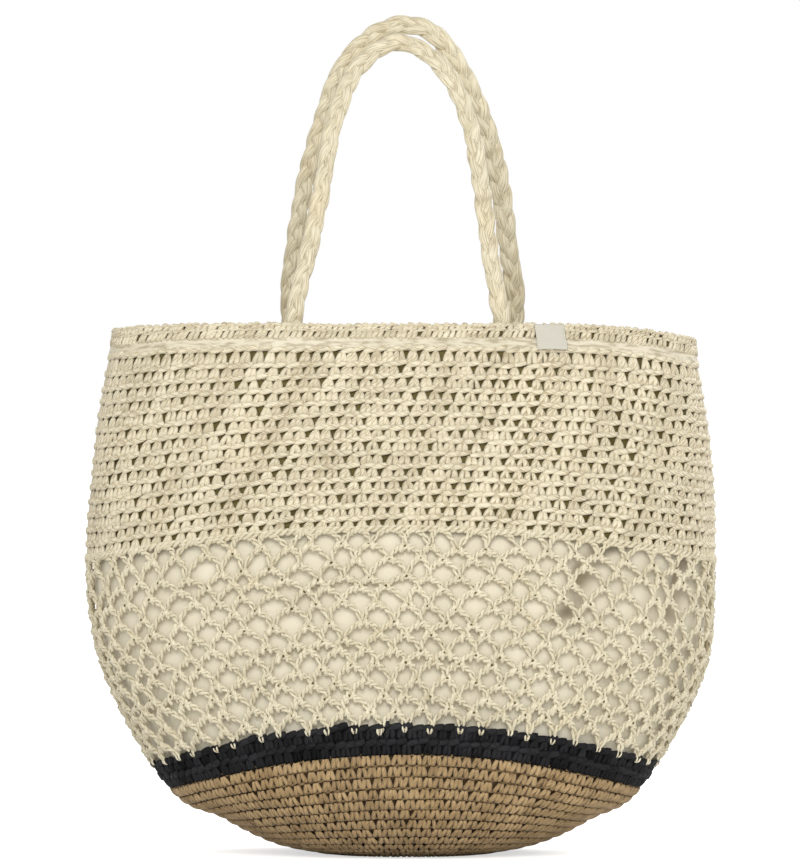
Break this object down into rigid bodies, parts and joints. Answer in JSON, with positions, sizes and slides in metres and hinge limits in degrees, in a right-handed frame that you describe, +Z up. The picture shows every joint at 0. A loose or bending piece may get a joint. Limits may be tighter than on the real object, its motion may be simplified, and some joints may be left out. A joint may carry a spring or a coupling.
{
  "type": "beach bag",
  "caption": "Round-bottomed crocheted straw beach tote with an open net band, a cotton lining and braided handles that lean together and swing down over the rim.",
  "frame": {"origin": "on the floor under the middle of the bag", "axes": "+Z up, -Y out of the front, +X to the right of someone looking at the front"},
  "size_m": [0.442, 0.2218, 0.5877],
  "materials": {
    "straw": "twisted paper straw, cream",
    "camel_straw": "twisted paper straw, camel brown",
    "dark_straw": "twisted paper straw, blue-black",
    "tape": "flat straw tape",
    "cotton": "plain woven cotton lining",
    "label_cloth": "satin-woven blank label",
    "thread": "cotton sewing thread"
  },
  "bodies": {
    "bag": {"base_crochet": "camel_straw", "dark_band": "dark_straw", "net_band": "straw", "upper_wall": "straw", "rim_tape": "tape", "rim_edge": "straw", "lining_wall": "cotton", "lining_bottom": "cotton", "lining_stitches": "thread", "label": "label_cloth", "label_stitches": "thread", "front_left_tab": "straw", "front_right_tab": "straw", "back_left_tab": "straw", "back_right_tab": "straw", "tab_stitches": "thread"},
    "front_handle": {"front_strand_1": "straw", "front_strand_2": "straw", "front_strand_3": "straw"},
    "back_handle": {"back_strand_1": "straw", "back_strand_2": "straw", "back_strand_3": "straw"}
  },
  "joints": [
    {"name": "front_handle_swing", "type": "hinge", "parent": "bag", "child": "front_handle", "pos_m": [0, -0.06556, 0.367], "axis": [1, 0, 0], "range_deg": [0, 165]},
    {"name": "back_handle_swing", "type": "hinge", "parent": "bag", "child": "back_handle", "pos_m": [0, 0.06556, 0.367], "axis": [-1, 0, 0], "range_deg": [0, 165]}
  ]
}
